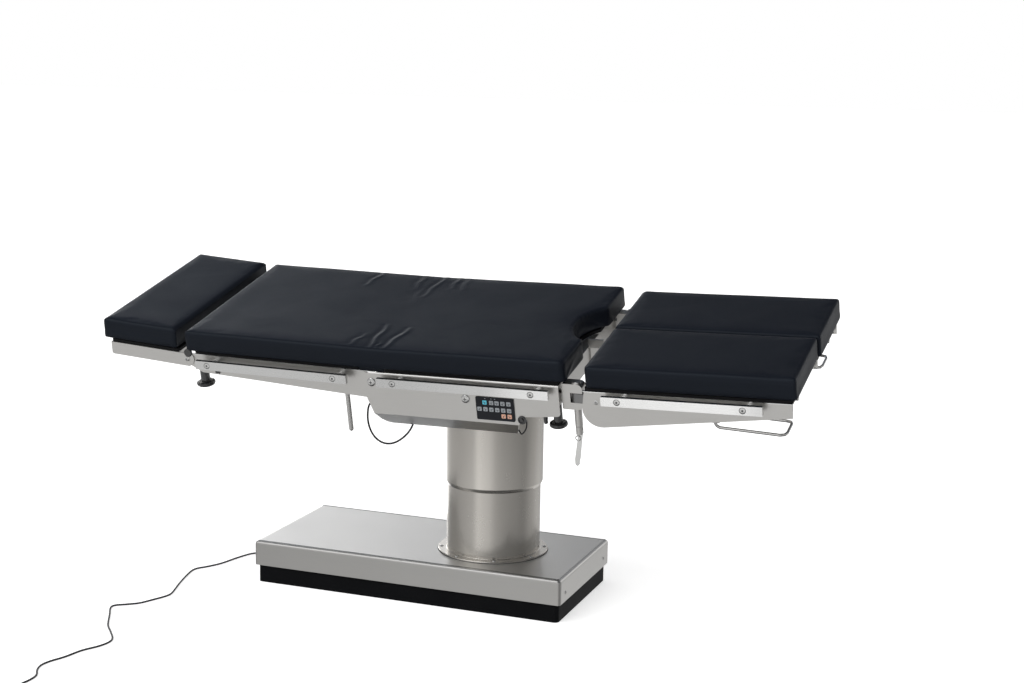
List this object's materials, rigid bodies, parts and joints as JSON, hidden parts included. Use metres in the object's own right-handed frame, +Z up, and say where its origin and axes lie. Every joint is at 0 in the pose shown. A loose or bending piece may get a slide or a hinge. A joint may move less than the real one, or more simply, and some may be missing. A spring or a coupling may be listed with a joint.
{
  "type": "operating table",
  "caption": "Operating table with a telescopic column, tilting and tipping top, hinged back and head, split legs and black pads.",
  "frame": {"origin": "on the floor under the column's axis", "axes": "+X to the foot end, +Y to the far side, +Z up"},
  "size_m": [1.9751, 1.5695, 0.8656],
  "materials": {
    "brushed_stainless": "satin brushed",
    "bright_steel": "bright",
    "dark_steel": "semi-matte",
    "black_plastic": "gloss",
    "black_laminate": "matte",
    "pad_cover": "satin coated fabric",
    "keypad_film": "satin film",
    "cable_jacket": "matte"
  },
  "bodies": {
    "base": {"base_cover": "brushed_stainless", "base_side_near": "brushed_stainless", "base_side_far": "brushed_stainless", "base_tray": "black_plastic", "base_chassis": "dark_steel", "power_unit": "dark_steel", "lower_sleeve": "brushed_stainless", "guide_mast": "dark_steel", "cord_gland": "black_plastic", "mains_cord": "cable_jacket", "mains_cord_coil": "cable_jacket", "mains_plug": "black_plastic"},
    "column": {"upper_sleeve": "brushed_stainless", "slide_mast": "dark_steel"},
    "cross": {"tilt_cross": "dark_steel"},
    "seat": {"seat_casing": "brushed_stainless", "tilt_saddle": "dark_steel", "tipping_shaft": "bright_steel", "seat_board": "black_laminate", "seat_cushion": "pad_cover", "mattress_fold": "pad_cover", "seat_rail_near": "bright_steel", "seat_rail_far": "bright_steel", "back_hinge_pin_near": "bright_steel", "back_hinge_pin_far": "bright_steel", "control_keypad": "keypad_film", "hand_control_socket": "black_plastic", "seat_end_beam": "brushed_stainless", "leg_block_near": "brushed_stainless", "leg_block_far": "brushed_stainless", "socket_lead": "cable_jacket", "hanging_lead": "cable_jacket"},
    "back": {"back_frame": "brushed_stainless", "back_board": "black_laminate", "back_cushion": "pad_cover", "back_rail_near": "bright_steel", "back_rail_far": "bright_steel"},
    "head": {"head_frame": "brushed_stainless", "head_board": "black_laminate", "head_cushion": "pad_cover"},
    "back_lever": {"back_release_lever": "bright_steel"},
    "plunger": {"release_plunger": "black_plastic"},
    "seat_knob_near": {"seat_clamp_knob_near": "black_plastic"},
    "head_knob_near": {"head_clamp_knob_near": "black_plastic"},
    "leg_cam_near": {"leg_clamp_lever_near": "bright_steel"},
    "leg_arm_near": {"leg_arm_near": "dark_steel"},
    "leg_near": {"leg_frame_near": "brushed_stainless", "leg_board_near": "black_laminate", "leg_cushion_near": "pad_cover", "leg_rail_near": "bright_steel"},
    "leg_handle_near": {"leg_handle_near": "bright_steel"},
    "seat_knob_far": {"seat_clamp_knob_far": "black_plastic"},
    "head_knob_far": {"head_clamp_knob_far": "black_plastic"},
    "leg_cam_far": {"leg_clamp_lever_far": "bright_steel"},
    "leg_arm_far": {"leg_arm_far": "dark_steel"},
    "leg_far": {"leg_frame_far": "brushed_stainless", "leg_board_far": "black_laminate", "leg_cushion_far": "pad_cover", "leg_rail_far": "bright_steel"},
    "leg_handle_far": {"leg_handle_far": "bright_steel"}
  },
  "joints": [
    {"name": "column_lift", "type": "slide", "parent": "base", "child": "column", "axis": [0, 0, 1], "range_m": [-0.17, 0.15]},
    {"name": "lateral_tilt", "type": "hinge", "parent": "column", "child": "cross", "pos_m": [0.019, 0, 0.6655], "axis": [1, 0, 0], "range_deg": [-33.8, 6.2]},
    {"name": "tipping", "type": "hinge", "parent": "cross", "child": "seat", "pos_m": [0.019, 0, 0.6655], "axis": [0, -0.9711, -0.2385], "range_deg": [-25.9, 24.1]},
    {"name": "back_raise", "type": "hinge", "parent": "seat", "child": "back", "pos_m": [-0.25037, -0.00548, 0.6878], "axis": [0, 0.9711, 0.2385], "range_deg": [-16.3, 73.7], "deforming": ["mattress_fold"]},
    {"name": "head_tilt", "type": "hinge", "parent": "back", "child": "head", "pos_m": [-0.81225, -0.00975, 0.70519], "axis": [0, 0.9711, 0.2385], "range_deg": [-93.5, 21.5]},
    {"name": "back_release", "type": "hinge", "parent": "back", "child": "back_lever", "pos_m": [-0.33663, -0.24298, 0.59827], "axis": [0, 0.9711, 0.2385], "range_deg": [-15, 15]},
    {"name": "plunger_pull", "type": "slide", "parent": "seat", "child": "plunger", "axis": [-0.015, -0.2385, 0.971], "range_m": [-0.006, 0]},
    {"name": "seat_clamp_near", "type": "hinge", "parent": "seat", "child": "seat_knob_near", "pos_m": [0.26106, -0.22967, 0.60696], "axis": [-0.015, -0.2385, 0.971], "range_deg": [0, 270]},
    {"name": "head_clamp_near", "type": "hinge", "parent": "back", "child": "head_knob_near", "pos_m": [-0.78656, -0.23072, 0.61126], "axis": [0.0082, -0.2385, 0.9711], "range_deg": [0, 270]},
    {"name": "leg_cam_turn_near", "type": "hinge", "parent": "seat", "child": "leg_cam_near", "pos_m": [0.32169, -0.21957, 0.53232], "axis": [0, 0.9711, 0.2385], "range_deg": [-90, 0]},
    {"name": "leg_swing_near", "type": "hinge", "parent": "seat", "child": "leg_arm_near", "pos_m": [0.32019, -0.24344, 0.62951], "axis": [-0.015, -0.2385, 0.971], "range_deg": [-90, 0]},
    {"name": "leg_fold_near", "type": "hinge", "parent": "leg_arm_near", "child": "leg_near", "pos_m": [0.37988, -0.24366, 0.63039], "axis": [0, 0.9711, 0.2385], "range_deg": [-11.2, 90.8]},
    {"name": "leg_handle_turn_near", "type": "hinge", "parent": "leg_near", "child": "leg_handle_near", "pos_m": [0.68289, -0.24131, 0.59988], "axis": [0, 0.9711, 0.2385], "range_deg": [-12, 0]},
    {"name": "seat_clamp_far", "type": "hinge", "parent": "seat", "child": "seat_knob_far", "pos_m": [0.26106, 0.23065, 0.72003], "axis": [-0.015, -0.2385, 0.971], "range_deg": [0, 270]},
    {"name": "head_clamp_far", "type": "hinge", "parent": "back", "child": "head_knob_far", "pos_m": [-0.78656, 0.2296, 0.72432], "axis": [0.0082, -0.2385, 0.9711], "range_deg": [0, 270]},
    {"name": "leg_cam_turn_far", "type": "hinge", "parent": "seat", "child": "leg_cam_far", "pos_m": [0.32169, 0.25629, 0.6492], "axis": [0, 0.9711, 0.2385], "range_deg": [-90, 0]},
    {"name": "leg_swing_far", "type": "hinge", "parent": "seat", "child": "leg_arm_far", "pos_m": [0.32019, 0.23241, 0.7464], "axis": [0.015, 0.2385, -0.971], "range_deg": [-90, 0]},
    {"name": "leg_fold_far", "type": "hinge", "parent": "leg_arm_far", "child": "leg_far", "pos_m": [0.37988, 0.2322, 0.74727], "axis": [0, 0.9711, 0.2385], "range_deg": [-11.2, 90.8]},
    {"name": "leg_handle_turn_far", "type": "hinge", "parent": "leg_far", "child": "leg_handle_far", "pos_m": [0.68939, 0.24421, 0.71933], "axis": [0, 0.9711, 0.2385], "range_deg": [-12, 0]}
  ]
}
